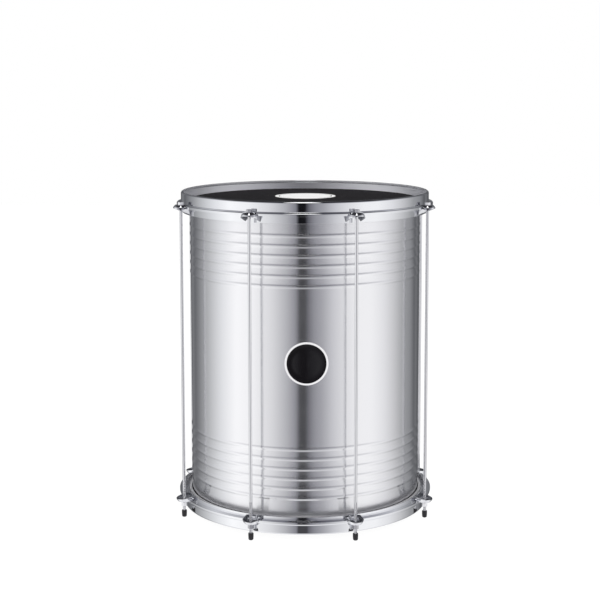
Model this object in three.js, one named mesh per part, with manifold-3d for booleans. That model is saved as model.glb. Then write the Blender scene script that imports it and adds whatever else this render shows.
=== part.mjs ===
// Surdo: a deep double-headed drum that stands on the rubber caps of its tension rods.
// Millimetres, +Z up. The origin is on the ground under the drum's axis, the front is -Y.
// Round pieces are turned about the axis; the ears are stamped bowls joined to the hoops.

import * as THREE from 'three';
import { mergeVertices } from 'three/addons/utils/BufferGeometryUtils.js';
import Module from 'manifold-3d';

const wasm = await Module();
wasm.setup();

// Counts
const ROUND_STEPS = 56;        // facets round the drum's axis
const SMALL_STEPS = 12;        // facets round a rod, washer or cap
const EAR_STEPS = 8;           // facets round the front of an ear
const ROD_COUNT = 8;
const RIB_COUNT = 6;           // ribs near each end of the shell

// Shared clearances
const SEAT_GAP = 0.3;          // between pieces that rest on or fit round each other
const CUT_OVERRUN = 2;         // how far a cutting tool runs past what it cuts

// Shell
const SHELL_RADIUS = 223;
const SHELL_HEIGHT = 579;
const SHELL_WALL = 1.2;
const BEARING_LIP = 7;         // the turned-in edge that carries the head
const BEARING_CORNER = 1;      // chamfer on the bearing edge
const RIB_HEIGHT = 0.9;
const RIB_WIDTH = 10;
const RIB_PITCH = 18.5;
const FIRST_RIB = 46.5;        // from the shell's end to the middle of the first rib

// Heads
const SKIN_THICKNESS = 0.8;
const COLLAR_DEPTH = 12;       // how far the skin comes down round the shell

// Flesh hoops
const FLESH_WIDTH = 5;
const FLESH_HEIGHT = 6;

// Hoops
const RIM_ABOVE_HEAD = 16;     // the rim stands this far beyond the head
const HOOP_CLEARANCE = 6.5;    // between the flesh hoop and the skirt round it
const BAND_STEP = 2.7;         // the wide band stands this far outside the skirt
const BAND_HEIGHT = 19.5;      // from the rim to the flange
const HOOP_WALL = 2;
const RIM_ROLL = 4.8;          // width of the rolled rim
const ROLL_HEIGHT = 4.5;
const ROLL_CORNER = 1.3;
const FLANGE_REACH = 8.1;      // the flange's edge, outside the band
const FLANGE_HEIGHT = 6.5;
const FLANGE_CORNER = 1.9;
const SKIRT_WALL = 1.8;
const TOP_SKIRT = 13.5;        // skirt below the flange, upper hoop
const BOTTOM_SKIRT = 6.6;      // skirt above the flange, lower hoop
const LEDGE_THICKNESS = 2.5;   // inner ledge that presses on the flesh hoop

// Ears
const EAR_WALL = 2;
const EAR_BASE_RADIUS = 10.5;
const EAR_MOUTH_RADIUS = 15.5;
const EAR_CORNER = 3.5;        // rounded edge between the base and the bowl's wall
const EAR_FLARE_HEIGHT = 7;    // height at which the bowl has its full width
const EAR_LIP = 6;             // height of the wall at the front
const EAR_TIP_SETBACK = 2;     // the wings end this far short of the skirt's edge

// Rods and what is on them
const ROD_OUTSET = 2.5;        // the rods' middles, outside the flange's edge
const ROD_RADIUS = 3;
const ROD_HOLE_RADIUS = 3.6;
const ROD_TIP_CHAMFER = 0.6;
const HEX_ACROSS_FLATS = 10;
const ROD_HEAD_HEIGHT = 5;
const WASHER_RADIUS = 6;
const WASHER_THICKNESS = 1.2;
const NUT_HEIGHT = 7.6;
const HOLE_CLEARANCE = 0.3;    // radial, of a washer or nut on the rod
const CAP_RADIUS = 4.9;
const CAP_HEIGHT = 13.5;
const CAP_CORNER = 1.6;
const CAP_FLOOR = 2.5;         // rubber under the rod's end
const STAND_HEIGHT = 12;       // from the ground to the lower rim

// Badge
const BADGE_RADIUS = 40;
const BADGE_THICKNESS = 1;
const BADGE_AZIMUTH = 1.6;     // degrees to the right of the middle between two rods
const BADGE_RISE = 9.5;        // above the middle of the shell
const BADGE_STEPS = 32;

// Radii that follow, from the shell outwards
const fleshInnerRadius = SHELL_RADIUS + SEAT_GAP + SKIN_THICKNESS + SEAT_GAP;
const fleshOuterRadius = fleshInnerRadius + FLESH_WIDTH;
const skirtInnerRadius = fleshOuterRadius + HOOP_CLEARANCE;
const skirtRadius = skirtInnerRadius + SKIRT_WALL;
const bandRadius = skirtRadius + BAND_STEP;
const flangeRadius = bandRadius + FLANGE_REACH;
const rodCircle = flangeRadius + ROD_OUTSET;
const rodAzimuths = Array.from({ length: ROD_COUNT }, (_, i) => (i + 0.5) * 360 / ROD_COUNT);

// Heights that follow, from the ground upwards
const headBuild = SEAT_GAP + SKIN_THICKNESS;
const rimBeyondShell = RIM_ABOVE_HEAD + headBuild;
const bottomRimZ = STAND_HEIGHT;
const shellBottomZ = bottomRimZ + rimBeyondShell;
const shellTopZ = shellBottomZ + SHELL_HEIGHT;
const topRimZ = shellTopZ + rimBeyondShell;
const earTopZ = topRimZ - BAND_HEIGHT;
const earBottomZ = bottomRimZ + BAND_HEIGHT;

// Materials
const finish = (color, roughness, metalness) =>
  new THREE.MeshStandardMaterial({ color, roughness, metalness });
const materials = {
  shell: finish(0xc9cacd, 0.38, 1),
  chrome: finish(0xe2e3e6, 0.08, 1),
  flesh: finish(0xb5b6b9, 0.45, 1),
  skin: finish(0x302d2f, 0.7, 0),
  steel: finish(0xcfd0d3, 0.2, 1),
  rubber: finish(0x141414, 0.85, 0),
  badge: finish(0x1a1a1c, 0.35, 0),
};

const model = new THREE.Group();

function addMesh(name, geometry, material) {
  const mesh = new THREE.Mesh(geometry, material);
  mesh.name = name;
  model.add(mesh);
  return mesh;
}

// A closed outline of [radius, z] pairs, listed anticlockwise in the r-z plane, turned about Z.
function turned(outline, steps) {
  const closed = [...outline, outline[0]].map(([r, z]) => new THREE.Vector2(r, z));
  const onAxis = outline[0][0] === 0;
  const profile = onAxis ? closed.slice(0, -1) : closed;
  return new THREE.LatheGeometry(profile, steps).rotateX(Math.PI / 2);
}

function solidOf(geometry) {
  const plain = geometry.clone();
  plain.deleteAttribute('normal');
  plain.deleteAttribute('uv');
  const merged = mergeVertices(plain);
  const index = merged.index.array;
  const corners = [];
  for (let i = 0; i < index.length; i += 3) {
    const [a, b, c] = [index[i], index[i + 1], index[i + 2]];
    if (a !== b && b !== c && c !== a) corners.push(a, b, c);
  }
  return new wasm.Manifold(new wasm.Mesh({
    numProp: 3,
    vertProperties: Float32Array.from(merged.attributes.position.array),
    triVerts: Uint32Array.from(corners),
  }));
}

function geometryOf(solid) {
  const mesh = solid.getMesh();
  const geometry = new THREE.BufferGeometry();
  geometry.setAttribute('position', new THREE.BufferAttribute(mesh.vertProperties, 3));
  geometry.setIndex(new THREE.BufferAttribute(mesh.triVerts, 1));
  geometry.computeVertexNormals();
  return geometry;
}

// A solid skinned over rings of [x, y, z] points, every ring convex and of the same length.
function lofted(rings) {
  const count = rings[0].length;
  const positions = rings.flat(2);
  const index = [];
  for (let level = 0; level + 1 < rings.length; level++) {
    for (let i = 0; i < count; i++) {
      const a = level * count + i;
      const b = level * count + (i + 1) % count;
      index.push(a, b, b + count, a, b + count, a + count);
    }
  }
  const last = (rings.length - 1) * count;
  for (let i = 1; i + 1 < count; i++) {
    index.push(0, i + 1, i, last, last + i, last + i + 1);
  }
  const geometry = new THREE.BufferGeometry();
  geometry.setAttribute('position', new THREE.Float32BufferAttribute(positions, 3));
  geometry.setIndex(index);
  return geometry;
}

function bar(radius, lowZ, highZ, steps) {
  return turned([[0, lowZ], [radius, lowZ], [radius, highZ], [0, highZ]], steps);
}

function hexagon(acrossFlats, holeRadius) {
  const corner = acrossFlats / Math.sqrt(3);
  const shape = new THREE.Shape(Array.from({ length: 6 }, (_, i) =>
    new THREE.Vector2(corner * Math.cos(i * Math.PI / 3), corner * Math.sin(i * Math.PI / 3))));
  if (holeRadius > 0) {
    const hole = new THREE.Path();
    hole.absarc(0, 0, holeRadius, 0, 2 * Math.PI, true);
    shape.holes.push(hole);
  }
  return shape;
}

function prism(shape, lowZ, height) {
  const settings = { depth: height, bevelEnabled: false, curveSegments: SMALL_STEPS / 2 };
  return new THREE.ExtrudeGeometry(shape, settings).translate(0, 0, lowZ);
}

// Puts a piece that was drawn on the Z axis, facing +X, on the rod at an azimuth from the front.
function placeAtRod(object, azimuth) {
  const angle = THREE.MathUtils.degToRad(azimuth) - Math.PI / 2;
  object.rotation.z = angle;
  object.position.set(rodCircle * Math.cos(angle), rodCircle * Math.sin(angle), 0);
}

// The corner that the skin turns round, grown outwards from the shell's bearing edge.
function bearingCorner(growth) {
  return {
    radius: SHELL_RADIUS + growth,
    rise: growth,
    chamfer: BEARING_CORNER + growth * (2 - Math.SQRT2),
  };
}

function shellGeometry() {
  const inner = SHELL_RADIUS - SHELL_WALL;
  const lip = SHELL_RADIUS - BEARING_LIP;
  const chamfer = BEARING_CORNER;
  const outline = [
    [lip, shellBottomZ],
    [SHELL_RADIUS - chamfer, shellBottomZ],
    [SHELL_RADIUS, shellBottomZ + chamfer],
  ];
  const fromBottom = Array.from({ length: RIB_COUNT }, (_, i) => FIRST_RIB + i * RIB_PITCH);
  const fromTop = fromBottom.map((rise) => SHELL_HEIGHT - rise).reverse();
  for (const rise of [...fromBottom, ...fromTop]) {
    const z = shellBottomZ + rise;
    outline.push([SHELL_RADIUS, z - RIB_WIDTH / 2]);
    outline.push([SHELL_RADIUS + RIB_HEIGHT, z]);
    outline.push([SHELL_RADIUS, z + RIB_WIDTH / 2]);
  }
  outline.push(
    [SHELL_RADIUS, shellTopZ - chamfer],
    [SHELL_RADIUS - chamfer, shellTopZ],
    [lip, shellTopZ],
    [lip, shellTopZ - SHELL_WALL],
    [inner, shellTopZ - SHELL_WALL],
    [inner, shellBottomZ + SHELL_WALL],
    [lip, shellBottomZ + SHELL_WALL],
  );
  return turned(outline, ROUND_STEPS);
}

// The head on the shell's top edge; the lower head is this one mirrored.
function headGeometry(edgeZ) {
  const inside = bearingCorner(SEAT_GAP);
  const outside = bearingCorner(SEAT_GAP + SKIN_THICKNESS);
  const hem = edgeZ + outside.rise - COLLAR_DEPTH;
  return turned([
    [0, edgeZ + inside.rise],
    [inside.radius - inside.chamfer, edgeZ + inside.rise],
    [inside.radius, edgeZ + inside.rise - inside.chamfer],
    [inside.radius, hem],
    [outside.radius, hem],
    [outside.radius, edgeZ + outside.rise - outside.chamfer],
    [outside.radius - outside.chamfer, edgeZ + outside.rise],
    [0, edgeZ + outside.rise],
  ], ROUND_STEPS);
}

function fleshHoopGeometry(rimZ) {
  const top = rimZ - BAND_HEIGHT - LEDGE_THICKNESS - SEAT_GAP;
  const low = top - FLESH_HEIGHT;
  return turned([
    [fleshInnerRadius, low],
    [fleshOuterRadius, low],
    [fleshOuterRadius, top],
    [fleshInnerRadius, top],
  ], ROUND_STEPS);
}

// The hoop with its rim at rimZ and its skirt hanging below; the lower hoop is mirrored.
function hoopRing(rimZ, skirt) {
  const bandInner = bandRadius - HOOP_WALL;
  const rollInner = bandRadius - RIM_ROLL;
  const flangeTop = rimZ - BAND_HEIGHT;
  const flangeLow = flangeTop - FLANGE_HEIGHT;
  const ledgeLow = flangeTop - LEDGE_THICKNESS;
  const skirtLow = flangeLow - skirt;
  return turned([
    [rollInner, rimZ - ROLL_HEIGHT],
    [bandInner, rimZ - ROLL_HEIGHT],
    [bandInner, flangeTop],
    [fleshInnerRadius, flangeTop],
    [fleshInnerRadius, ledgeLow],
    [skirtInnerRadius, ledgeLow],
    [skirtInnerRadius, skirtLow],
    [skirtRadius, skirtLow],
    [skirtRadius, flangeLow],
    [flangeRadius - FLANGE_CORNER, flangeLow],
    [flangeRadius, flangeLow + FLANGE_CORNER],
    [flangeRadius, flangeTop - FLANGE_CORNER],
    [flangeRadius - FLANGE_CORNER, flangeTop],
    [bandRadius, flangeTop],
    [bandRadius, rimZ - ROLL_CORNER],
    [bandRadius - ROLL_CORNER, rimZ],
    [rollInner + ROLL_CORNER, rimZ],
    [rollInner, rimZ - ROLL_CORNER],
  ], ROUND_STEPS);
}

// One level of an ear: a U of the given half width, its legs running back into the hoop.
function earLevel(halfWidth, z) {
  const back = skirtRadius - SKIRT_WALL / 2 - rodCircle;
  const ring = [[back, -halfWidth, z]];
  for (let i = 0; i <= EAR_STEPS; i++) {
    const angle = Math.PI * (i / EAR_STEPS - 1 / 2);
    ring.push([halfWidth * Math.cos(angle), halfWidth * Math.sin(angle), z]);
  }
  ring.push([back, halfWidth, z]);
  return ring;
}

// A stamped bowl open towards the middle of the drum, its base on plateZ and facing up.
function earSolid(plateZ, wingHeight) {
  const level = (inset, depth, halfWidth) => earLevel(halfWidth - inset, plateZ - depth);
  const stack = (inset, first, last) => lofted([
    level(inset, last, EAR_MOUTH_RADIUS),
    level(inset, Math.max(EAR_FLARE_HEIGHT, first + EAR_CORNER), EAR_MOUTH_RADIUS),
    level(inset, first + EAR_CORNER, EAR_BASE_RADIUS + EAR_CORNER),
    level(inset, first, EAR_BASE_RADIUS),
  ]);
  const outside = solidOf(stack(0, 0, wingHeight));
  const inside = solidOf(stack(EAR_WALL, EAR_WALL, wingHeight + CUT_OVERRUN));
  const reach = EAR_MOUTH_RADIUS + CUT_OVERRUN;
  const back = skirtRadius - rodCircle;
  const slope = (wingHeight - EAR_LIP) / (EAR_MOUTH_RADIUS - back);
  const rim = (x, extra) => plateZ - EAR_LIP - slope * (EAR_MOUTH_RADIUS - x) - extra;
  const far = wingHeight + reach;
  const corner = (x, y, extra) => [x, y, rim(x, extra)];
  const wedge = solidOf(lofted([
    [corner(back, -reach, far), corner(reach, -reach, far),
      corner(reach, reach, far), corner(back, reach, far)],
    [corner(back, -reach, 0), corner(reach, -reach, 0),
      corner(reach, reach, 0), corner(back, reach, 0)],
  ]));
  return outside.subtract(inside).subtract(wedge);
}

function hoopGeometry(skirt) {
  const wingHeight = FLANGE_HEIGHT + skirt - EAR_TIP_SETBACK;
  const ear = earSolid(earTopZ, wingHeight);
  const drill = solidOf(bar(ROD_HOLE_RADIUS, earTopZ - wingHeight - CUT_OVERRUN,
    earTopZ + CUT_OVERRUN, SMALL_STEPS));
  let hoop = solidOf(hoopRing(topRimZ, skirt));
  for (const azimuth of rodAzimuths) {
    hoop = hoop.add(ear.translate([rodCircle, 0, 0]).rotate([0, 0, azimuth - 90]));
  }
  for (const azimuth of rodAzimuths) {
    hoop = hoop.subtract(drill.translate([rodCircle, 0, 0]).rotate([0, 0, azimuth - 90]));
  }
  return hoop;
}

// The same piece at the drum's other end.
function mirrored(solid) {
  return solid.mirror([0, 0, 1]).translate([0, 0, shellBottomZ + shellTopZ]);
}

function rodGeometry() {
  const tip = CAP_FLOOR + SEAT_GAP;
  const shank = turned([
    [0, tip],
    [ROD_RADIUS - ROD_TIP_CHAMFER, tip],
    [ROD_RADIUS, tip + ROD_TIP_CHAMFER],
    [ROD_RADIUS, earTopZ + ROD_HEAD_HEIGHT / 2],
    [0, earTopZ + ROD_HEAD_HEIGHT / 2],
  ], SMALL_STEPS);
  const head = prism(hexagon(HEX_ACROSS_FLATS, 0), earTopZ + SEAT_GAP, ROD_HEAD_HEIGHT);
  return geometryOf(solidOf(shank).add(solidOf(head)));
}

const washerTopZ = earBottomZ - SEAT_GAP;
const nutTopZ = washerTopZ - WASHER_THICKNESS - SEAT_GAP;

function washerGeometry() {
  const hole = ROD_RADIUS + HOLE_CLEARANCE;
  const low = washerTopZ - WASHER_THICKNESS;
  return turned([
    [hole, low], [WASHER_RADIUS, low], [WASHER_RADIUS, washerTopZ], [hole, washerTopZ],
  ], SMALL_STEPS);
}

function nutGeometry() {
  return prism(hexagon(HEX_ACROSS_FLATS, ROD_RADIUS + HOLE_CLEARANCE),
    nutTopZ - NUT_HEIGHT, NUT_HEIGHT);
}

function capGeometry() {
  const bore = ROD_RADIUS + SEAT_GAP;
  return turned([
    [0, 0],
    [CAP_RADIUS - CAP_CORNER, 0],
    [CAP_RADIUS, CAP_CORNER],
    [CAP_RADIUS, CAP_HEIGHT],
    [bore, CAP_HEIGHT],
    [bore, CAP_FLOOR],
    [0, CAP_FLOOR],
  ], SMALL_STEPS);
}

// A disc bent round the shell, its centre on the front of the drum.
function badgeGeometry() {
  const disc = new THREE.CylinderGeometry(BADGE_RADIUS, BADGE_RADIUS, SHELL_RADIUS,
    BADGE_STEPS);
  const lift = shellBottomZ + SHELL_HEIGHT / 2 + BADGE_RISE;
  disc.translate(0, -SHELL_RADIUS, lift);
  disc.rotateZ(THREE.MathUtils.degToRad(BADGE_AZIMUTH));
  const back = SHELL_RADIUS + SEAT_GAP;
  const low = lift - BADGE_RADIUS - CUT_OVERRUN;
  const high = lift + BADGE_RADIUS + CUT_OVERRUN;
  const sleeve = turned([
    [back, low], [back + BADGE_THICKNESS, low], [back + BADGE_THICKNESS, high], [back, high],
  ], ROUND_STEPS);
  return geometryOf(solidOf(sleeve).intersect(solidOf(disc)));
}

addMesh('shell', shellGeometry(), materials.shell);
addMesh('badge', badgeGeometry(), materials.badge);

const head = solidOf(headGeometry(shellTopZ));
addMesh('batter_head', geometryOf(head), materials.skin);
addMesh('resonant_head', geometryOf(mirrored(head)), materials.skin);

const fleshHoop = solidOf(fleshHoopGeometry(topRimZ));
addMesh('batter_flesh_hoop', geometryOf(fleshHoop), materials.flesh);
addMesh('resonant_flesh_hoop', geometryOf(mirrored(fleshHoop)), materials.flesh);

addMesh('top_hoop', geometryOf(hoopGeometry(TOP_SKIRT)), materials.chrome);
const lowerHoop = mirrored(hoopGeometry(BOTTOM_SKIRT));
addMesh('bottom_hoop', geometryOf(lowerHoop), materials.chrome);

rodAzimuths.forEach((azimuth, i) => {
  const pieces = [
    addMesh(`tension_rod_${i + 1}`, rodGeometry(), materials.steel),
    addMesh(`washer_${i + 1}`, washerGeometry(), materials.steel),
    addMesh(`nut_${i + 1}`, nutGeometry(), materials.steel),
    addMesh(`rubber_cap_${i + 1}`, capGeometry(), materials.rubber),
  ];
  for (const piece of pieces) placeAtRod(piece, azimuth);
});

export default model;
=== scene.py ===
# %% [markdown]
# # A surdo, piece by piece
# A surdo is the deep bass drum of samba. This one is a ribbed aluminium tube with a black
# head at each end. Two chromed hoops pull the heads tight with eight long rods, and the
# drum stands on the rubber caps of those rods. The engineering model is loaded first and
# keeps every place and size. The pieces here are finer copies of its solids, in metres.

# %% Load the engineering model
import math

import bmesh
import bpy
from mathutils import Matrix, Vector


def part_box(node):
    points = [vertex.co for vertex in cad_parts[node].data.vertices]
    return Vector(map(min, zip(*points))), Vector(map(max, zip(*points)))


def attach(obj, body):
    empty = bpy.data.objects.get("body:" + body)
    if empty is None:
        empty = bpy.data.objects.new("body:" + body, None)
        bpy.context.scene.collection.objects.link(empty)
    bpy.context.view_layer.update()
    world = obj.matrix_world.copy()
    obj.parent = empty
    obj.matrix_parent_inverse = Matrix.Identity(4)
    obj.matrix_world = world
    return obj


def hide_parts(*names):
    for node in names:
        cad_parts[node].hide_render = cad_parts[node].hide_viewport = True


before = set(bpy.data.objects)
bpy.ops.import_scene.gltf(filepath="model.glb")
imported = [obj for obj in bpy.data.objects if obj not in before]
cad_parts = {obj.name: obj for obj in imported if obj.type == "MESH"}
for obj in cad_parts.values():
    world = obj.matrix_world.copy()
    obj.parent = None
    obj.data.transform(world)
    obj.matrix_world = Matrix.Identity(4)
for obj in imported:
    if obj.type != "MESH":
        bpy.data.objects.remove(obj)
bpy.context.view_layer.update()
MM = 0.001

# %% [markdown]
# ## The sizes that the pieces share
# All of them are the engineering model's, in millimetres, and most heights are read from
# its solids. A value that one piece alone needs comes with that piece. The lower end is
# the upper one turned over, so most shapes are drawn once, for the upper end, and flipped.

# %% Shared sizes
def heights(node):
    """A solid's lowest and highest point in millimetres, to the nearest tenth."""
    low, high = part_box(node)
    return round(low.z / MM, 1), round(high.z / MM, 1)


SHELL_R = 223.0
SHELL_LOW, SHELL_HIGH = heights("shell")
FLIP = SHELL_LOW + SHELL_HIGH
RIM_HIGH = heights("top_hoop")[1]
FLANGE_HIGH = 605.7
ROD_COUNT = 8
ROD_CIRCLE = 251.0
ROD_R = 3.0
AXIS = 0.01                # outlines that reach the middle stop this near the axis
ROUND_STEPS = 256          # flat faces round the drum
SMALL_STEPS = 32           # and round the small turned pieces


def rod_azimuth(number):
    """The rod's angle from the front, in radians, towards +X."""
    return math.radians((number - 0.5) * 360 / ROD_COUNT)


print("shell from", SHELL_LOW, "to", SHELL_HIGH, "and rim at", RIM_HIGH)
print("rods at", [round(math.degrees(rod_azimuth(i + 1)), 1) for i in range(ROD_COUNT)])

# %% [markdown]
# ## Drawing with outlines
# Nearly everything on a drum is turned, rolled or pressed round its axis. So the main
# tool is an outline of radius and height, carried round in a circle. Real sheet metal has
# no sharp corners, and chrome shows that at once: every corner is rounded first.

# %% Round the corners of an outline
def rounded(corners, arc=6):
    """Corners are (radius, height) or (radius, height, rounding). Returns a smooth outline."""
    count = len(corners)
    outline = []
    for i, corner in enumerate(corners):
        here = Vector(corner[:2])
        rounding = corner[2] if len(corner) > 2 else 0
        if not rounding:
            outline.append(here)
            continue
        before = (Vector(corners[i - 1][:2]) - here).normalized()
        after = (Vector(corners[(i + 1) % count][:2]) - here).normalized()
        half = before.angle(after) / 2
        middle = here + (before + after).normalized() * rounding / math.sin(half)
        start = here + before * rounding / math.tan(half) - middle
        end = here + after * rounding / math.tan(half) - middle
        for step in range(arc + 1):
            share = step / arc
            swing = start.lerp(end, share)
            outline.append(middle + swing.normalized() * rounding)
    return [tuple(point) for point in outline]


# %% Turn a row of points into a mesh
def finished(mesh, sharp=38):
    """Faces outwards, smooth except across edges sharper than the angle in degrees."""
    edit = bmesh.new()
    edit.from_mesh(mesh)
    bmesh.ops.remove_doubles(edit, verts=edit.verts, dist=1e-7)
    bmesh.ops.recalc_face_normals(edit, faces=edit.faces)
    edit.to_mesh(mesh)
    edit.free()
    mesh.shade_smooth()
    mesh.set_sharp_from_angle(angle=math.radians(sharp))
    return mesh


def skinned(name, rows, closed):
    """Joins rows of points, each row a ring. Closed also joins the last row to the first."""
    around = len(rows[0])
    points = [Vector(point) * MM for row in rows for point in row]
    faces = []
    for level in range(len(rows) if closed else len(rows) - 1):
        low = level * around
        high = (level + 1) % len(rows) * around
        for i in range(around):
            j = (i + 1) % around
            faces.append((low + i, low + j, high + j, high + i))
    if not closed:
        faces.append(tuple(range(around)))
        faces.append(tuple(range(len(points) - around, len(points))))
    mesh = bpy.data.meshes.new(name)
    mesh.from_pydata(points, [], faces)
    return finished(mesh)


def ring(radius, height, steps):
    """A ring of points. Its radius is a number, or a function of the angle."""
    angles = [2 * math.pi * i / steps for i in range(steps)]
    reach = radius if callable(radius) else lambda angle: radius
    return [(reach(a) * math.cos(a), reach(a) * math.sin(a), height) for a in angles]


# %% Turned shapes and their place in the scene
def turned(name, outline, steps=ROUND_STEPS, closed=True):
    """An outline of radius and height, carried round the Z axis."""
    return skinned(name, [ring(r, z, steps) for r, z in outline], closed)


def flipped(outline):
    """The same outline at the drum's lower end."""
    return [(r, FLIP - z) for r, z in outline]


def add_piece(name, mesh, body, slot, *nodes):
    """Puts a mesh in the scene with the body it moves with, and hides the solids it stands for.
    The slot, its finish, is not used.
    """
    piece = bpy.data.objects.new(name, mesh)
    bpy.context.scene.collection.objects.link(piece)
    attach(piece, body)
    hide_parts(*nodes)
    return piece


# %% [markdown]
# ## The shell
# A long strip of aluminium is rolled into a tube. Wheels press six shallow ribs near each
# end, which stiffen it, and the edges are turned in so that the skin can slide over a
# round corner. The sheet has one thickness, so the inside follows the outside. A cosine
# gives a rib the soft foot and crown that a wheel leaves.

# %% Build the shell
SHEET = 1.2
LIP = 7.0
RIB_COUNT = 6              # at each end
RIB_HEIGHT, RIB_WIDTH, RIB_PITCH = 0.9, 10.0, 18.5
FIRST_RIB = 46.5           # from the shell's edge to the middle of the first rib
RIB_STEPS = 12
CORNER = 8                 # points in a lip and the rounding next to it

lower_ribs = [SHELL_LOW + FIRST_RIB + i * RIB_PITCH for i in range(RIB_COUNT)]
upper_ribs = [FLIP - z for z in reversed(lower_ribs)]
wall = []
for rib in lower_ribs + upper_ribs:
    for step in range(RIB_STEPS + 1):
        turn = 2 * math.pi * step / RIB_STEPS
        rise = RIB_HEIGHT * (1 - math.cos(turn)) / 2
        wall.append((rise, rib + RIB_WIDTH * (step / RIB_STEPS - 0.5)))
outside = rounded([(SHELL_R - LIP, SHELL_LOW), (SHELL_R, SHELL_LOW, 1.6),
                   (SHELL_R, SHELL_HIGH, 1.6), (SHELL_R - LIP, SHELL_HIGH)])
inside = rounded([(SHELL_R - LIP, SHELL_HIGH - SHEET),
                  (SHELL_R - SHEET, SHELL_HIGH - SHEET, 0.6),
                  (SHELL_R - SHEET, SHELL_LOW + SHEET, 0.6),
                  (SHELL_R - LIP, SHELL_LOW + SHEET)])
outer_wall = [(SHELL_R + rise, z) for rise, z in wall]
inner_wall = [(SHELL_R - SHEET + rise, z) for rise, z in reversed(wall)]
shell_outline = (outside[:CORNER] + outer_wall + outside[CORNER:]
                 + inside[:CORNER] + inner_wall + inside[CORNER:])
shell = add_piece("shell_tube", turned("shell_tube", shell_outline), "drum",
                  "brushed_shell", "shell")
print("shell", len(shell.data.polygons), "faces")

# %% [markdown]
# ## Heads and flesh hoops
# The skin is artificial leather. It lies flat over the turned edge, bends round it and
# runs down inside a square aluminium ring, the flesh hoop, which grips its edge. The
# hoops press on that ring and so tighten the skin. Laid flat it is a round cut, as wide as
# the drum and the part that runs down on both sides.

# %% Build the heads and the flesh hoops
SKIN = 0.8
SKIN_R = 224.1
SKIN_HEM, SKIN_TOP = heights("batter_head")
SKIN_FLAT_R = 190.0        # a ring of points that keeps the long faces of the flat short
FLESH_R, FLESH_OUTER_R = 224.4, 229.4
FLESH_LOW, FLESH_HIGH = heights("batter_flesh_hoop")
FLESH_CORNER = 0.8
head_outline = rounded([
    (AXIS, SKIN_TOP), (SKIN_FLAT_R, SKIN_TOP), (SKIN_R, SKIN_TOP, 2.4),
    (SKIN_R, SKIN_HEM, 0.3), (SKIN_R - SKIN, SKIN_HEM, 0.3),
    (SKIN_R - SKIN, SKIN_TOP - SKIN, 1.6), (AXIS, SKIN_TOP - SKIN)])
flesh_outline = rounded([
    (FLESH_R, FLESH_LOW, FLESH_CORNER), (FLESH_OUTER_R, FLESH_LOW, FLESH_CORNER),
    (FLESH_OUTER_R, FLESH_HIGH, FLESH_CORNER), (FLESH_R, FLESH_HIGH, FLESH_CORNER)])
heads = []
flesh_hoops = []
for end, place in (("batter", list), ("resonant", flipped)):
    head = add_piece(f"{end}_skin", turned(f"{end}_skin", place(head_outline)), "drum",
                     "drum_skin", f"{end}_head")
    heads.append(head)
    flesh_hoops.append(add_piece(
        f"{end}_flesh_ring", turned(f"{end}_flesh_ring", place(flesh_outline)),
        "drum", "flesh_hoop", f"{end}_flesh_hoop"))
print("head", len(heads[0].data.polygons), "faces")

# %% [markdown]
# ## The hoops
# Each hoop is pressed from steel. From the rim it runs as a wide band, steps out to a
# rolled flange that stiffens it, and ends in a skirt round the flesh hoop. The rim is
# rolled inwards, kind to the hand that strikes over it. The lower hoop's skirt is shorter.

# %% Build the hoops
RIM_INNER_R = 235.6        # the rolled rim's inside
ROLL_INNER_R = 238.4       # the band's inside, under the roll
ROLL_HEIGHT = 4.5
BAND_R = 240.4
BAND_FOOT = 236.0          # the band's inside leans in towards its foot, for the press
LEDGE_LOW = 603.2          # the ledge that presses on the flesh hoop
SKIRT_INNER_R, SKIRT_R = 235.9, 237.7
TOP_SKIRT, BOTTOM_SKIRT = 13.5, 6.6
SKIRT_EDGE = 0.15
FLANGE_R = 248.5
FLANGE_HEIGHT = 6.5
FLANGE_LOW = FLANGE_HIGH - FLANGE_HEIGHT


def hoop_outline(skirt, droop, nose):
    """The upper hoop: its skirt's height, how far the flange's edge hangs, its rounding."""
    skirt_low = FLANGE_LOW - skirt
    return rounded([
        (RIM_INNER_R, RIM_HIGH - ROLL_HEIGHT, 0.9), (ROLL_INNER_R, RIM_HIGH - ROLL_HEIGHT, 0.5),
        (BAND_FOOT, FLANGE_HIGH, 0.8), (FLESH_R, FLANGE_HIGH, 0.5), (FLESH_R, LEDGE_LOW, 0.5),
        (SKIRT_INNER_R, LEDGE_LOW, 0.8), (SKIRT_INNER_R, skirt_low, SKIRT_EDGE),
        (SKIRT_R, skirt_low, SKIRT_EDGE), (SKIRT_R, FLANGE_LOW, SKIRT_EDGE),
        (FLANGE_R, FLANGE_LOW, SKIRT_EDGE), (FLANGE_R, FLANGE_HIGH - droop, nose),
        (BAND_R, FLANGE_HIGH, 0.6), (BAND_R, RIM_HIGH, 3.6), (RIM_INNER_R, RIM_HIGH, 1.1)],
        arc=8)


hoops = []
for end, outline in (("top", hoop_outline(TOP_SKIRT, 1.5, 1.6)),
                     ("bottom", flipped(hoop_outline(BOTTOM_SKIRT, 0, 3.4)))):
    hoops.append(add_piece(f"{end}_hoop_ring", turned(f"{end}_hoop_ring", outline),
                           "drum", "chromed_hoop", f"{end}_hoop"))
print("hoop", len(hoops[0].data.polygons), "faces")

# %% [markdown]
# ## The ears
# A claw for each rod is stamped from sheet into a small bowl, open towards the drum. Its
# flat base carries the rod's head above, or the nut below. The bowl's lip is low in
# front and rises to two wings. One bowl is shaped as a surface, trimmed by a sloping
# plane, given its thickness, drilled, and then copied to the eight rods.

# %% Shape one ear
EAR_LIP = 6.0              # height of the bowl's wall in front
EAR_MOUTH = 15.5
PLATE_BACK, WALL_BACK = -11.6, -13.9   # where plate and walls end, towards the drum
PLATE_DEPTH = 3.5          # down to here the bowl counts as plate
FRONT_STEPS, LEG_STEPS = 24, 5


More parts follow.
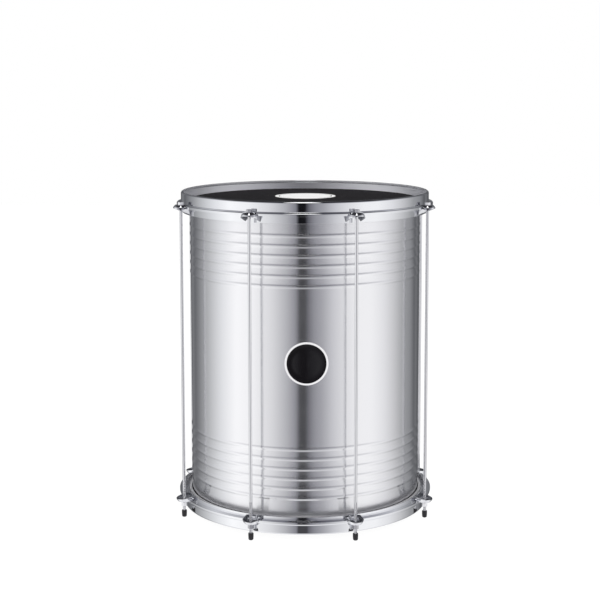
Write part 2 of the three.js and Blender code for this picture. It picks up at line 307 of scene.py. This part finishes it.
def ear_mesh(wing):
    """An ear on the Z axis that faces +X, its base up and at height 0."""
    flat = [(half_width, 0) for half_width in (0.4, 4, 7)]
    bowl = rounded([(8.5, 0), (10.9, 0, 2.6), (14.4, 4, 3.5), (EAR_MOUTH, 8, 4),
                    (EAR_MOUTH, wing)])
    rows = []
    for width, depth in flat + bowl:
        back = PLATE_BACK if depth < PLATE_DEPTH else WALL_BACK
        legs = [back * (1 - i / LEG_STEPS) for i in range(LEG_STEPS)]
        row = [(x, -width, -depth) for x in legs]
        for i in range(FRONT_STEPS + 1):
            angle = math.pi * (i / FRONT_STEPS - 0.5)
            row.append((width * math.cos(angle), width * math.sin(angle), -depth))
        row += [(x, width, -depth) for x in reversed(legs)]
        rows.append(row)
    around = len(rows[0])
    points = [Vector(p) * MM for row in rows for p in row]
    faces = [(a, a + 1, a + 1 + around, a + around)
             for level in range(len(rows) - 1)
             for a in range(level * around, (level + 1) * around - 1)]
    first = [(i, i + 1, around - 2 - i, around - 1 - i) for i in range(around // 2 - 1)]
    mesh = bpy.data.meshes.new("ear")
    mesh.from_pydata(points, [], faces + first)
    edit = bmesh.new()
    edit.from_mesh(mesh)
    bmesh.ops.remove_doubles(edit, verts=edit.verts, dist=1e-7)
    rise = (wing - EAR_LIP) / (EAR_MOUTH - WALL_BACK)
    bmesh.ops.bisect_plane(
        edit, geom=edit.verts[:] + edit.edges[:] + edit.faces[:],
        plane_co=Vector((EAR_MOUTH, 0, -EAR_LIP)) * MM, plane_no=Vector((rise, 0, -1)),
        clear_outer=True)
    bmesh.ops.recalc_face_normals(edit, faces=edit.faces)
    if sum(face.normal.z * face.calc_area() for face in edit.faces) < 0:
        bmesh.ops.reverse_faces(edit, faces=edit.faces)
    edit.to_mesh(mesh)
    edit.free()
    return mesh


# %% Give it its thickness, its hole and soft edges
EAR_SHEET = 1.9
ROD_HOLE = 3.6
DRILL_LOW, DRILL_HIGH = -9, 3   # well past both sides of the plate


def solid_ear(wing):
    """The ear's surface, thickened inwards, drilled for the rod, its edges broken."""
    ear = bpy.data.objects.new("ear", ear_mesh(wing))
    drill = bpy.data.objects.new("drill", turned(
        "drill", [(ROD_HOLE, DRILL_LOW), (ROD_HOLE, DRILL_HIGH)], SMALL_STEPS, closed=False))
    for part in (ear, drill):
        bpy.context.scene.collection.objects.link(part)
    for _ in ("outside", "inside"):
        ear.data.materials.append(None)
    sheet = ear.modifiers.new("sheet", "SOLIDIFY")
    sheet.thickness = EAR_SHEET * MM
    sheet.offset = -1
    # Inner faces and cut edges take the second material, dull plating with painted shade.
    sheet.material_offset = sheet.material_offset_rim = 1
    hole = ear.modifiers.new("hole", "BOOLEAN")
    hole.object = drill
    hole.operation = "DIFFERENCE"
    edges = ear.modifiers.new("edges", "BEVEL")
    edges.width = 0.35 * MM
    edges.segments = 2
    edges.limit_method = "ANGLE"
    edges.angle_limit = math.radians(50)
    bpy.context.view_layer.update()
    shaped = bpy.data.meshes.new_from_object(
        ear.evaluated_get(bpy.context.evaluated_depsgraph_get()))
    for part in (ear, drill):
        bpy.data.objects.remove(part)
    return finished(shaped)


# %% Copy it round both hoops
PLATE_LIFT = 0.15          # keeps the plate clear of the flange's top, which it lies on
WING_SETBACK = 2.0         # the wings end this far short of the skirt's edge


def at_rod(number):
    """The place of a piece that was drawn on the Z axis and faces +X."""
    turn = rod_azimuth(number) - math.pi / 2
    return (Matrix.Rotation(turn, 4, "Z")
            @ Matrix.Translation((ROD_CIRCLE * MM, 0, 0)))


ears = []
for end, skirt in (("top", TOP_SKIRT), ("bottom", BOTTOM_SKIRT)):
    one = solid_ear(skirt + FLANGE_HEIGHT - WING_SETBACK)
    lift = Matrix.Translation((0, 0, (FLANGE_HIGH + PLATE_LIFT) * MM))
    over = Matrix.Translation((0, 0, FLIP * MM)) @ Matrix.Scale(-1, 4, (0, 0, 1))
    place = lift if end == "top" else over @ lift
    every = bmesh.new()
    for number in range(1, ROD_COUNT + 1):
        copy = one.copy()
        copy.transform(at_rod(number) @ place)
        every.from_mesh(copy)
    claws = bpy.data.meshes.new(f"{end}_ears")
    every.to_mesh(claws)
    every.free()
    ears.append(add_piece(f"{end}_ears", finished(claws), "drum", "chromed_hoop",
                          f"{end}_hoop"))
print("ear", len(one.polygons), "faces")

# %% [markdown]
# ## Rods, washers, nuts and caps
# A tension rod is a long M6 screw: a hexagon head with its top corners taken off, a plain
# shank and a rolled thread at the lower end, one turn in each millimetre. The thread is
# real geometry, a radius that depends on height and angle. The nuts are tall hexagons with
# both ends chamfered, and soft caps are pushed over the rods' ends.

# %% Hexagons and threads as radius functions
FLATS = 10.0
THREAD_PITCH, THREAD_DEPTH = 1.0, 0.35
THREAD_LOW, THREAD_HIGH = 4.0, 72.0
THREAD_ROWS = 4            # rows of points in one turn of the thread
FINE_STEPS = 24            # points round a rod or a nut


def hexagon(cut=None):
    """The radius of a hexagon with a corner at angle 0, no larger than the cut."""
    def radius(angle):
        off = (angle + math.pi / 6) % (math.pi / 3) - math.pi / 6
        full = FLATS / 2 / math.cos(math.pi / 6 - abs(off))
        return min(full, cut) if cut else full
    return radius


def thread(height):
    """The radius of the thread at a height, a soft sawtooth that climbs round the rod."""
    def radius(angle):
        phase = (height / THREAD_PITCH - angle / (2 * math.pi)) % 1
        return ROD_R - THREAD_DEPTH * abs(2 * phase - 1)
    return radius


def ends_of_hexagon(low, high, down, up):
    """The rows of a hexagon bar, its chamfer at the ends that ask for one."""
    corner = FLATS / 2 / math.cos(math.pi / 6)
    chamfer = [(0, FLATS / 2 * 0.97), (0.16, FLATS / 2 * 1.03), (0.42, corner)]
    bottom = [(low + rise, cut) for rise, cut in chamfer] if down else [(low, corner)]
    top = [(high - rise, cut) for rise, cut in reversed(chamfer)] if up else [(high, corner)]
    return [(hexagon(cut), z) for z, cut in bottom + top]


# %% Build what sits on each rod
ROD_LOW, ROD_HIGH = heights("tension_rod_1")
ROD_HEAD_LOW = 606.0
ROD_TIP = 0.35             # size of each of the two bevels at the rod's end
NUT_LOW, NUT_HIGH = heights("nut_1")
NUT_BORE, NUT_MOUTH, MOUTH_DEPTH = 3.2, 3.6, 0.4
WASHER_LOW, WASHER_HIGH = heights("washer_1")
WASHER_BORE, WASHER_R = 3.3, 6.0
CAP_LOW, CAP_HIGH = heights("rubber_cap_1")
CAP_FLOOR, CAP_BORE, CAP_R = 2.5, 3.3, 4.9

rod_rows = [(AXIS, ROD_LOW), (ROD_R - 2 * ROD_TIP, ROD_LOW), (ROD_R - ROD_TIP, ROD_LOW + 0.5)]
levels = int((THREAD_HIGH - THREAD_LOW) / THREAD_PITCH * THREAD_ROWS)
for i in range(levels + 1):
    level = THREAD_LOW + i / THREAD_ROWS * THREAD_PITCH
    rod_rows.append((thread(level), level))
rod_rows += [(ROD_R, THREAD_HIGH + 0.8), (ROD_R, ROD_HEAD_LOW)]
rod_rows += ends_of_hexagon(ROD_HEAD_LOW, ROD_HIGH, False, True) + [(AXIS, ROD_HIGH)]
rod_mesh = skinned("rod", [ring(r, z, FINE_STEPS) for r, z in rod_rows], closed=False)

nut_rows = ends_of_hexagon(NUT_LOW, NUT_HIGH, True, True) + [
    (NUT_MOUTH, NUT_HIGH), (NUT_BORE, NUT_HIGH - MOUTH_DEPTH),
    (NUT_BORE, NUT_LOW + MOUTH_DEPTH), (NUT_MOUTH, NUT_LOW)]
nut_mesh = skinned("nut", [ring(r, z, FINE_STEPS) for r, z in nut_rows], closed=True)

washer_mesh = turned("washer", rounded([
    (WASHER_BORE, WASHER_LOW, 0.2), (WASHER_R, WASHER_LOW, 0.35),
    (WASHER_R, WASHER_HIGH, 0.35), (WASHER_BORE, WASHER_HIGH, 0.2)], arc=3), SMALL_STEPS)
cap_mesh = turned("cap", rounded([
    (AXIS, CAP_LOW), (4.5, CAP_LOW, 3.0), (CAP_R, 8, 3), (CAP_R, CAP_HIGH, 0.8),
    (CAP_BORE, CAP_HIGH, 0.4), (CAP_BORE, CAP_FLOOR, 0.3), (AXIS, CAP_FLOOR)]), SMALL_STEPS)
small = {"rod": [], "washer": [], "nut": [], "cap": []}
for number in range(1, ROD_COUNT + 1):
    for kind, mesh, body, slot, node in (
            ("rod", rod_mesh, "drum", "chromed_steel", "tension_rod"),
            ("washer", washer_mesh, f"washer_{number}", "chromed_steel", "washer"),
            ("nut", nut_mesh, f"nut_{number}", "chromed_steel", "nut"),
            ("cap", cap_mesh, "drum", "cap_rubber", "rubber_cap")):
        placed = mesh.copy()
        placed.transform(at_rod(number))
        small[kind].append(add_piece(f"{kind}_piece_{number}", placed, body, slot,
                                     f"{node}_{number}"))
print({kind: len(pieces[0].data.polygons) for kind, pieces in small.items()})

# %% [markdown]
# ## The badge
# A thin round plate, bent to the shell and glued on. Its rim is a raised pale ring round
# a black field. It is drawn as a flat disc of rings and then bent: a distance across
# becomes an angle round the shell.

# %% Build the badge
BADGE_LOW, BADGE_HIGH = heights("badge")
BADGE_R = (BADGE_HIGH - BADGE_LOW) / 2
BADGE_Z = (BADGE_HIGH + BADGE_LOW) / 2
BADGE_RING = 3.6           # width of the pale ring
BADGE_TURN = math.radians(1.6)
BADGE_BACK, BADGE_FRONT = 223.3, 224.3
BADGE_STEPS = 96
FIELD_R = BADGE_R - BADGE_RING

badge_face = [  # radius, and the share of the badge's thickness
    (AXIS, 0.72), (12, 0.72), (24, 0.7), (FIELD_R - 0.5, 0.66), (FIELD_R, 0.86),
    (FIELD_R + 0.5, 1.0), (BADGE_R - 0.7, 1.0), (BADGE_R - 0.15, 0.8), (BADGE_R, 0.45),
    (BADGE_R, 0), (24, 0), (AXIS, 0)]
flat_rows = [ring(r, rise, BADGE_STEPS) for r, rise in badge_face]
badge_rows = []
for row in flat_rows:
    bent = []
    for across, up, rise in row:
        angle = BADGE_TURN + math.asin(across / BADGE_BACK)
        reach = BADGE_BACK + rise * (BADGE_FRONT - BADGE_BACK)
        bent.append((reach * math.sin(angle), -reach * math.cos(angle), BADGE_Z + up))
    badge_rows.append(bent)
badge = add_piece("badge_plate", skinned("badge_plate", badge_rows, closed=True), "drum",
                  "badge_face", "badge")
print("badge", [round(side * 1000, 1) for side in badge.dimensions])

# %% [markdown]
# ## Tools for materials
# Colours are written as the hex values a paint chart gives, and one function turns them
# into the linear numbers that light works with. One more function adds a node with its
# settings and links, so that a material reads from top to bottom like a recipe. The rest
# are the steps that most recipes share: a place in metres, soft blotches of a real size,
# a colour between two others, a number between two others, and fine relief.

# %% Colours and nodes
def linear(colour):
    """An sRGB hex colour as linear red, green, blue and alpha."""
    parts = [int(colour[i:i + 2], 16) / 255 for i in (1, 3, 5)]
    return [part / 12.92 if part <= 0.04045 else ((part + 0.055) / 1.055) ** 2.4
            for part in parts] + [1.0]


def add_node(tree, kind, inputs=None, **settings):
    """Adds a node. An input is a value, or the output of another node to link from."""
    node = tree.nodes.new(kind)
    for name, value in settings.items():
        setattr(node, name, value)
    for socket, value in (inputs or {}).items():
        if isinstance(value, bpy.types.NodeSocket):
            tree.links.new(value, node.inputs[socket])
        else:
            node.inputs[socket].default_value = value
    return node


# %% A new material and what shows of it
def new_material(name):
    """An empty material, its nodes, and the place on the object in metres."""
    material = bpy.data.materials.new(name)
    material.use_nodes = True
    tree = material.node_tree
    tree.nodes.clear()
    return material, tree, add_node(tree, "ShaderNodeTexCoord").outputs["Object"]


def shown(tree, kind, inputs):
    """Adds the shader that the material shows, which is the last node of each recipe."""
    shader = add_node(tree, kind, inputs)
    add_node(tree, "ShaderNodeOutputMaterial", {"Surface": shader.outputs[0]})


def give(material, *pieces):
    """The next finish of each piece. Most have only one."""
    for piece in pieces:
        piece.data.materials.append(material)


# %% Blotches, colours and numbers that vary
def blotches(tree, place, size, **more):
    """A noise with blotches about as wide as size, from 0 to 1."""
    noise = add_node(tree, "ShaderNodeTexNoise", {"Vector": place, "Scale": 1 / size, **more})
    return noise.outputs["Fac"]


def streaks(tree, place, length, width, **more):
    """A noise drawn out sideways: so long round the drum, so wide up and down it."""
    stretch = add_node(tree, "ShaderNodeMapping", {
        "Vector": place, "Scale": (1 / length, 1 / length, 1 / width)})
    return blotches(tree, stretch.outputs[0], 1.0, **more)


def mixed(tree, factor, first, second):
    """A colour between two hex colours, or between two that nodes make."""
    first, second = (linear(c) if isinstance(c, str) else c for c in (first, second))
    mix = add_node(tree, "ShaderNodeMix", {"Factor": factor, "A": first, "B": second},
                   data_type="RGBA")
    return mix.outputs["Result"]


def between(tree, value, first, second, start=0.3, end=0.7):
    """A number that goes from first to second while the value goes from start to end."""
    scale = add_node(tree, "ShaderNodeMapRange", {
        "Value": value, "From Min": start, "From Max": end, "To Min": first,
        "To Max": second})
    return scale.outputs[0]


def maths(tree, operation, *values):
    """One step of reckoning with numbers or outputs."""
    return add_node(tree, "ShaderNodeMath", dict(enumerate(values)),
                    operation=operation).outputs[0]


def away_from(tree, place, centre):
    """The distance from a point, for round marks."""
    offset = add_node(tree, "ShaderNodeVectorMath", {0: place, 1: centre},
                      operation="SUBTRACT")
    return add_node(tree, "ShaderNodeVectorMath", {0: offset.outputs[0]},
                    operation="LENGTH").outputs["Value"]


def bumps(tree, height, strength, depth, **more):
    """Fine relief, for the shader's Normal."""
    return add_node(tree, "ShaderNodeBump", {
        "Height": height, "Strength": strength, "Distance": depth}, **more).outputs[0]


# %% [markdown]
# ## Brushed aluminium
# The shell turned against abrasive belts, which left fine lines round it. Lines that run
# round blur a reflection up and down but keep it sharp sideways, so the studio shows as
# upright stripes. That is anisotropy, with its tangent round the drum's axis. The lines
# are a noise pulled out sideways. Real ones are about 0.1 mm apart, too fine to show,
# so these are drawn near 1 mm.

# %% Brushed aluminium
LINE = 1.1 * MM            # height of one brushed line, drawn coarse
STREAK = 160 * MM          # length of one line
aluminium, tree, place = new_material("brushed aluminium")
lines = streaks(tree, place, STREAK, LINE, Detail=3.0, Roughness=0.6)
round_axis = add_node(tree, "ShaderNodeTangent", direction_type="RADIAL", axis="Z")
shown(tree, "ShaderNodeBsdfPrincipled", {
    "Base Color": mixed(tree, lines, "#f3f3f5", "#f9f9fa"), "Metallic": 1.0,
    "Roughness": between(tree, lines, 0.19, 0.22),
    "Anisotropic": 0.95, "Anisotropic Rotation": 0.25, "Tangent": round_axis.outputs[0],
    "Normal": bumps(tree, lines, 0.02, 0.01 * MM)})
give(aluminium, shell)
print(aluminium.name, len(tree.nodes), "nodes")

# %% [markdown]
# ## Chrome
# The hoops are polished steel with a bright chromium plating: a cold, nearly perfect
# mirror. Pressed sheet is never quite true, so a very shallow waviness about 15 mm across
# makes its reflections swim a little.

# %% Bright chrome on the hoops
WAVE = 15 * MM             # waviness of pressed sheet
WIPE = 40 * MM             # clouds that a polishing cloth leaves
chrome, tree, place = new_material("bright chrome plating")
waves = blotches(tree, place, WAVE, Detail=1.0)
wipes = blotches(tree, place, WIPE, Detail=4.0)
shown(tree, "ShaderNodeBsdfPrincipled", {
    "Base Color": linear("#f3f4f6"), "Metallic": 1.0,
    "Roughness": between(tree, wipes, 0.03, 0.09, 0.35, 0.75),
    "Normal": bumps(tree, waves, 0.5, 0.05 * MM)})
give(chrome, *hoops, *ears)
print(chrome.name, len(tree.nodes), "nodes")

# %% [markdown]
# ## Satin chrome inside the hoops
# Nobody polishes the inside of a hoop, so the plating there keeps the drawing lines of the
# press. It is a second material on the faces that look at the drum's axis. Its lines run
# along the hoop and, like the shell's, are drawn coarser than they are.

# %% Satin chrome on the faces that look inwards
PRESS_LENGTH = 1 / 14      # of one line along the hoop, in metres
PRESS_LINE = 1.6 * MM
satin, tree, place = new_material("satin chrome plating")
drawing = streaks(tree, place, PRESS_LENGTH, PRESS_LINE, Detail=2.0)
shown(tree, "ShaderNodeBsdfPrincipled", {
    "Base Color": mixed(tree, drawing, "#ececef", "#fefeff"), "Metallic": 1.0,
    "Roughness": between(tree, drawing, 0.36, 0.46)})
for hoop in hoops:
    hoop.data.materials.append(satin)
    for face in hoop.data.polygons:
        outwards = Vector((face.center.x, face.center.y, 0)).normalized()
        face.material_index = int(face.normal.dot(outwards) < -0.9)
print(satin.name, sum(face.material_index for face in hoops[0].data.polygons), "faces")

# %% [markdown]
# ## Dull plating and painted shade inside the ears
# Chromium is laid down by an electric current, which hardly reaches into a narrow bowl.
# The ears are bright chrome outside. Inside and on their cut edges the plating is dull,
# and its grey colour is painted shade, the darkness of the bowl's recess.

# %% Dull plating in the ears, its grey painted shade
dull_plating_painted_shade, tree, place = new_material("dull plating with painted shade")
patches = blotches(tree, place, 5 * MM, Detail=3.0)
# The grey base colour is painted shade, the darkness of the recess inside the bowl.
shown(tree, "ShaderNodeBsdfPrincipled", {
    "Base Color": mixed(tree, patches, "#85878c", "#a5a7ac"), "Metallic": 1.0,
    "Roughness": between(tree, patches, 0.3, 0.45)})
give(dull_plating_painted_shade, *ears)
print(dull_plating_painted_shade.name, sum(face.material_index for face in ears[0].data.polygons), "faces")

# %% [markdown]
# ## Plated steel
# Rods, nuts and washers are zinc or chromium plated in a barrel, where they knock against
# each other. The plating is bright but softer than the hoops', with small cloudy patches.

# %% Plated steel
plated, tree, place = new_material("barrel plated steel")
clouds = blotches(tree, place, 6 * MM, Detail=3.0)
shown(tree, "ShaderNodeBsdfPrincipled", {
    "Base Color": mixed(tree, clouds, "#ececee", "#f6f6f8"), "Metallic": 1.0,
    "Roughness": between(tree, clouds, 0.07, 0.14)})
give(plated, *small["rod"], *small["washer"], *small["nut"])
print(plated.name, len(tree.nodes), "nodes")

# %% [markdown]
# ## Drawn aluminium
# The flesh hoops are drawn through a die and left plain: greyer and duller than the shell,
# with faint lines along the bar.

# %% Drawn aluminium
DIE_LENGTH = 1 / 12        # of one line along the bar, in metres
DIE_LINE = 1 / 1400        # and its height
drawn, tree, place = new_material("drawn aluminium")
lines = streaks(tree, place, DIE_LENGTH, DIE_LINE)
shown(tree, "ShaderNodeBsdfPrincipled", {
    "Base Color": linear("#dedee0"), "Metallic": 0.4,
    "Roughness": between(tree, lines, 0.38, 0.55, 0, 1)})
give(drawn, *flesh_hoops)
print(drawn.name, len(tree.nodes), "nodes")

# %% [markdown]
# ## Napa, the black artificial leather of the heads
# A woven backing with a soft black coat, embossed with a grain of small cells about a
# millimetre wide, quite matte. A round white patch is printed on it a little behind the
# middle, with one thin ring inside its edge. Both are masks by distance from its centre.

# %% Black napa
GRAIN = 1.0 * MM
PRINT_R = 60 * MM
PRINT_Y = 50 * MM          # behind the middle
PRINT_LINE_R = 52 * MM
PRINT_LINE = 1.6 * MM      # width of the thin ring
EDGE = 0.4 * MM            # softness of the print's edge
napa, tree, place = new_material("black napa")
cells = add_node(tree, "ShaderNodeTexVoronoi", {"Vector": place, "Scale": 1 / GRAIN},
                 feature="SMOOTH_F1").outputs["Distance"]
mottle = blotches(tree, place, 25 * MM, Detail=3.0)
distance = away_from(tree, place, (0, PRINT_Y, SKIN_TOP * MM))
patch = between(tree, distance, 1.0, 0.0, PRINT_R - EDGE, PRINT_R)
off_line = maths(tree, "ABSOLUTE", maths(tree, "SUBTRACT", distance, PRINT_LINE_R))
not_line = between(tree, off_line, 0.0, 1.0,
                   (PRINT_LINE - EDGE) / 2, (PRINT_LINE + EDGE) / 2)
printed = maths(tree, "MULTIPLY", patch, not_line)
coat = mixed(tree, mottle, "#201d20", "#282529")
shown(tree, "ShaderNodeBsdfPrincipled", {
    "Base Color": mixed(tree, printed, coat, "#fbfbfa"),
    "Roughness": between(tree, cells, 0.62, 0.85, 0, 1), "Specular IOR Level": 0.3,
    "Normal": bumps(tree, cells, 0.6, 0.12 * MM, invert=True)})
give(napa, *heads)
print(napa.name, len(tree.nodes), "nodes")

# %% [markdown]
# ## Enamel on the badge
# Black enamel fills the field and the raised ring is bare white enamel. Enamel is glassy:
# low roughness under a clear surface, with the slightest unevenness.

# %% Black and white enamel
enamel, tree, place = new_material("enamelled badge")
centre = (BADGE_BACK * math.sin(BADGE_TURN) * MM, -BADGE_BACK * math.cos(BADGE_TURN) * MM,
          BADGE_Z * MM)
ring_mask = between(tree, away_from(tree, place, centre), 0.0, 1.0,
                    (FIELD_R - 0.2) * MM, (FIELD_R + 0.3) * MM)
flow = blotches(tree, place, 9 * MM, Detail=2.0)
field = mixed(tree, flow, "#0a080b", "#131014")
shown(tree, "ShaderNodeBsdfPrincipled", {
    "Base Color": mixed(tree, ring_mask, field, "#f7f6f8"), "Roughness": 0.22,
    "Coat Weight": 0.3, "Coat Roughness": 0.08, "Normal": bumps(tree, flow, 0.3, 0.03 * MM)})
give(enamel, badge)
print(enamel.name, len(tree.nodes), "nodes")

# %% [markdown]
# ## Rubber on the caps
# Moulded black rubber with a spark-eroded mould's fine matte grain.

# %% Moulded rubber
rubber, tree, place = new_material("moulded rubber")
grit = blotches(tree, place, 0.8 * MM, Detail=2.0)
shown(tree, "ShaderNodeBsdfPrincipled", {
    "Base Color": mixed(tree, grit, "#161518", "#2a282c"), "Roughness": 0.6,
    "Normal": bumps(tree, grit, 0.5, 0.08 * MM)})
give(rubber, *small["cap"])
print(rubber.name, len(tree.nodes), "nodes")

# %% [markdown]
# ## The studio, drawn as a sky
# Polished metal has no look of its own: it shows the room. A photographer lights a drum
# with tall soft boxes left and right, a dark slit where the camera stands, black flags
# behind them that draw the dark edges, and a grey wall at the back. One ramp holds that
# room by angle from the camera's side; overhead the slit opens into a wide dark gap. The
# second ramp is the height above the floor: a bright floor, walls that fade upwards, a
# dim ceiling. One more soft box hangs over the front. The camera itself sees plain white.

# %% The room by angle
ROOM_TURN = math.radians(1.7)   # the dark slit is this far to the left of the front
ROOM = [  # degrees from the slit, grey
    (-180, "#7a7b7e"), (-165, "#4a4b4e"), (-152, "#757679"), (-143, "#5d5e61"),
    (-133, "#747578"), (-120, "#949597"), (-104, "#bbbcbe"), (-88, "#dadbdd"),
    (-70, "#f3f3f4"), (-50, "#ebebec"), (-30, "#d2d2d4"), (-15, "#aaaaae"),
    (-8, "#8b8b91"), (-5, "#7b7b82"), (-3.6, "#131317"), (3.6, "#131317"),
    (4.6, "#505057"), (8, "#727279"), (12, "#88888e"), (20, "#9f9fa4"),
    (30, "#c1c1c5"), (42, "#d8d8da"), (58, "#eaeaeb"), (72, "#eaeaeb"),
    (88, "#dadadc"), (104, "#bdbdbf"), (120, "#949597"), (134, "#838487"),
    (146, "#545558"), (152, "#6d6e71"), (165, "#4a4b4e"), (180, "#7a7b7e")]
FADE = [  # degrees above the floor's horizon, grey
    (-90, "#f2f2f2"), (-35, "#fafafa"), (-12, "#f8f8f8"), (-2, "#f6f6f7"),
    (22, "#f2f2f4"), (38, "#b8b8bc"), (50, "#48484c"), (90, "#2c2c30")]
SLIT_FILL = [  # degrees above the horizon, grey that the slit has at least
    (-90, "#dcdcdf"), (-46, "#dcdcdf"), (-34, "#6e6e72"), (-18, "#1e1e22"),
    (-10, "#141417"), (8, "#141417"), (16, "#38383c"), (90, "#38383c")]

world = bpy.data.worlds.new("studio")
bpy.context.scene.world = world
world.use_nodes = True
tree = world.node_tree
tree.nodes.clear()


def degrees_between(value, first, second, start, end):
    """The same as between, for an angle: its start and end are in degrees."""
    return between(tree, value, first, second, math.radians(start), math.radians(end))


def grey_ramp(angle, stops):
    """A ramp of greys over an angle in radians, its stops in degrees."""
    low, high = stops[0][0], stops[-1][0]
    ramp = add_node(tree, "ShaderNodeValToRGB", {
        "Fac": degrees_between(angle, 0.0, 1.0, low, high)})
    elements = ramp.color_ramp.elements
    while len(elements) < len(stops):
        elements.new(1.0)
    for element, (degrees, colour) in zip(elements, stops):
        element.position = (degrees - low) / (high - low)
        element.color = linear(colour)
    return ramp.outputs["Color"]


def laid_over(lower, upper, how):
    """Two pictures of the room, put together in one of the ways of the Mix node."""
    return add_node(tree, "ShaderNodeMix", {"Factor": 1.0, "A": lower, "B": upper},
                    data_type="RGBA", blend_type=how).outputs["Result"]


# %% Put the walls, the gap overhead and the floor together
axes = add_node(tree, "ShaderNodeSeparateXYZ", {
    0: add_node(tree, "ShaderNodeTexCoord").outputs["Generated"]}).outputs
turn = maths(tree, "ARCTAN2", axes["X"], maths(tree, "MULTIPLY", axes["Y"], -1.0))
from_slit = maths(tree, "ADD", turn, ROOM_TURN)
rise = maths(tree, "ARCSINE", axes["Z"])
counted = degrees_between(rise, 1.0, 0.32, 5, 17)   # angles count less higher up,
overhead = maths(tree, "MULTIPLY", from_slit, counted)  # so the slit is wider there
walls = laid_over(grey_ramp(from_slit, ROOM), grey_ramp(overhead, ROOM), "DARKEN")
brighter = laid_over(walls, grey_ramp(rise, SLIT_FILL), "LIGHTEN")
room = laid_over(brighter, grey_ramp(rise, FADE), "MULTIPLY")

# %% Hang the soft box over the front
BOX_LEVEL = 1.6
BOX_SIDE, BOX_LOW, BOX_HIGH = 22, 40, 82   # its edges, in degrees
BOX_FADE = 3
box_side = degrees_between(maths(tree, "ABSOLUTE", from_slit), 0.0, 1.0,
                           BOX_SIDE, BOX_SIDE - BOX_FADE)
box_low = degrees_between(rise, 0.0, 1.0, BOX_LOW, BOX_LOW + BOX_FADE)
box_high = degrees_between(rise, 0.0, 1.0, BOX_HIGH, BOX_HIGH - BOX_FADE)
box = maths(tree, "MULTIPLY", maths(tree, "MULTIPLY", box_side, box_low), box_high)
studio_light = add_node(tree, "ShaderNodeMix", {
    "Factor": box, "A": room, "B": (BOX_LEVEL, BOX_LEVEL, BOX_LEVEL, 1.0)},
    data_type="RGBA").outputs["Result"]

# %% Light for the object, white for the camera
MIRROR_LEVEL = 1.25
MATTE_LEVEL = 1.0          # matte colours render about as written
WHITE = (1.0, 1.0, 1.0, 1.0)
path = add_node(tree, "ShaderNodeLightPath").outputs
mirrored = add_node(tree, "ShaderNodeBackground", {
    "Color": studio_light, "Strength": MIRROR_LEVEL})
even = add_node(tree, "ShaderNodeBackground", {"Color": WHITE, "Strength": MATTE_LEVEL})
studio = add_node(tree, "ShaderNodeMixShader", {
    0: path["Is Diffuse Ray"], 1: mirrored.outputs[0], 2: even.outputs[0]})
white = add_node(tree, "ShaderNodeBackground", {"Color": WHITE, "Strength": 1.0})
straight = maths(tree, "MAXIMUM", path["Is Camera Ray"], path["Is Transmission Ray"])
seen = add_node(tree, "ShaderNodeMixShader", {
    0: straight, 1: studio.outputs[0], 2: white.outputs[0]})
add_node(tree, "ShaderNodeOutputWorld", {"Surface": seen.outputs[0]})
print("studio", len(tree.nodes), "nodes")

# %% [markdown]
# ## The floor
# White paper. Its own light keeps it white for the camera, and the little that it takes
# from the room leaves a faint shadow under the drum. The room above already holds a lit
# floor, so reflections don't need this one. Seen from below it is clear.

# %% Build the floor
FLOOR_HALF = 6.0
PAPER_GLOW, PAPER_SHADE = 0.965, "#5c5c5c"
floor_mesh = bpy.data.meshes.new("paper_floor")
floor_mesh.from_pydata(
    [(x * FLOOR_HALF, y * FLOOR_HALF, 0) for x, y in ((-1, -1), (1, -1), (1, 1), (-1, 1))],
    [], [(0, 1, 2, 3)])
floor = bpy.data.objects.new("paper_floor", floor_mesh)
bpy.context.scene.collection.objects.link(floor)
floor.visible_glossy = floor.visible_diffuse = floor.visible_shadow = False
paper, tree, place = new_material("white paper")
shade = add_node(tree, "ShaderNodeBsdfDiffuse", {"Color": linear(PAPER_SHADE)})
glow = add_node(tree, "ShaderNodeEmission", {"Color": WHITE, "Strength": PAPER_GLOW})
both = add_node(tree, "ShaderNodeAddShader", {0: shade.outputs[0], 1: glow.outputs[0]})
clear = add_node(tree, "ShaderNodeBsdfTransparent")
from_below = add_node(tree, "ShaderNodeNewGeometry").outputs["Backfacing"]
shown(tree, "ShaderNodeMixShader", {0: from_below, 1: both.outputs[0], 2: clear.outputs[0]})
give(paper, floor)
print("floor", floor.dimensions[:])

# %% [markdown]
# ## The camera
# It stands nearly three metres off, a little above the rim, with a long lens, tilted down
# until the drum sits as it should in the square picture. The last of the framing is a
# small lens shift.

# %% Place the camera
CAMERA_AWAY = 2.771        # metres from the drum's axis
CAMERA_AZIMUTH = math.radians(0.897)
CAMERA_HEIGHT = 0.868
CAMERA_TILT = math.radians(7.13)
CAMERA_YAW = math.radians(0.554)
LENS_LENGTH, LENS_FRAME = 85.75, 36
LENS_SHIFT = (-0.0224, -0.095)

lens = bpy.data.cameras.new("camera")
lens.lens = LENS_LENGTH
lens.sensor_width = LENS_FRAME
lens.shift_x, lens.shift_y = LENS_SHIFT
lens.clip_end = 50
camera = bpy.data.objects.new("camera", lens)
bpy.context.scene.collection.objects.link(camera)
camera.location = (CAMERA_AWAY * math.sin(CAMERA_AZIMUTH),
                   -CAMERA_AWAY * math.cos(CAMERA_AZIMUTH), CAMERA_HEIGHT)
camera.rotation_euler = (math.pi / 2 - CAMERA_TILT, 0, CAMERA_YAW)
bpy.context.scene.camera = camera
bpy.context.scene.view_settings.view_transform = "Standard"
print("camera at", [round(v, 3) for v in camera.location])
